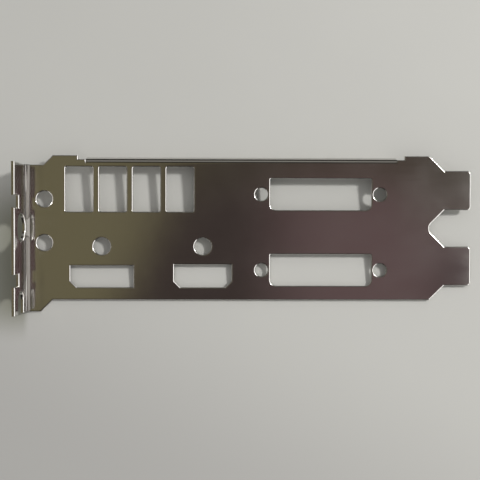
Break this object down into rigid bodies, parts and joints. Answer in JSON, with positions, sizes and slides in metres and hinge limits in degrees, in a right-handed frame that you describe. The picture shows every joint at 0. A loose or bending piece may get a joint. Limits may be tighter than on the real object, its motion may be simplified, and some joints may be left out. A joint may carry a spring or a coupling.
{
  "type": "expansion card bracket",
  "caption": "Folded sheet-steel slot bracket for a double-width expansion card, with a screw tab, socket windows, vents and two tongues.",
  "frame": {"origin": "centre of the part's box, at the free edge of the flange", "axes": "+X from the screw tab to the tongues, +Y towards the flanged long edge, +Z out of the plate's outer face"},
  "size_m": [0.12, 0.042, 0.0154],
  "materials": {
    "nickel_plated_steel": "bright nickel plate on steel"
  },
  "bodies": {
    "root": {"bracket": "nickel_plated_steel"}
  },
  "joints": []
}
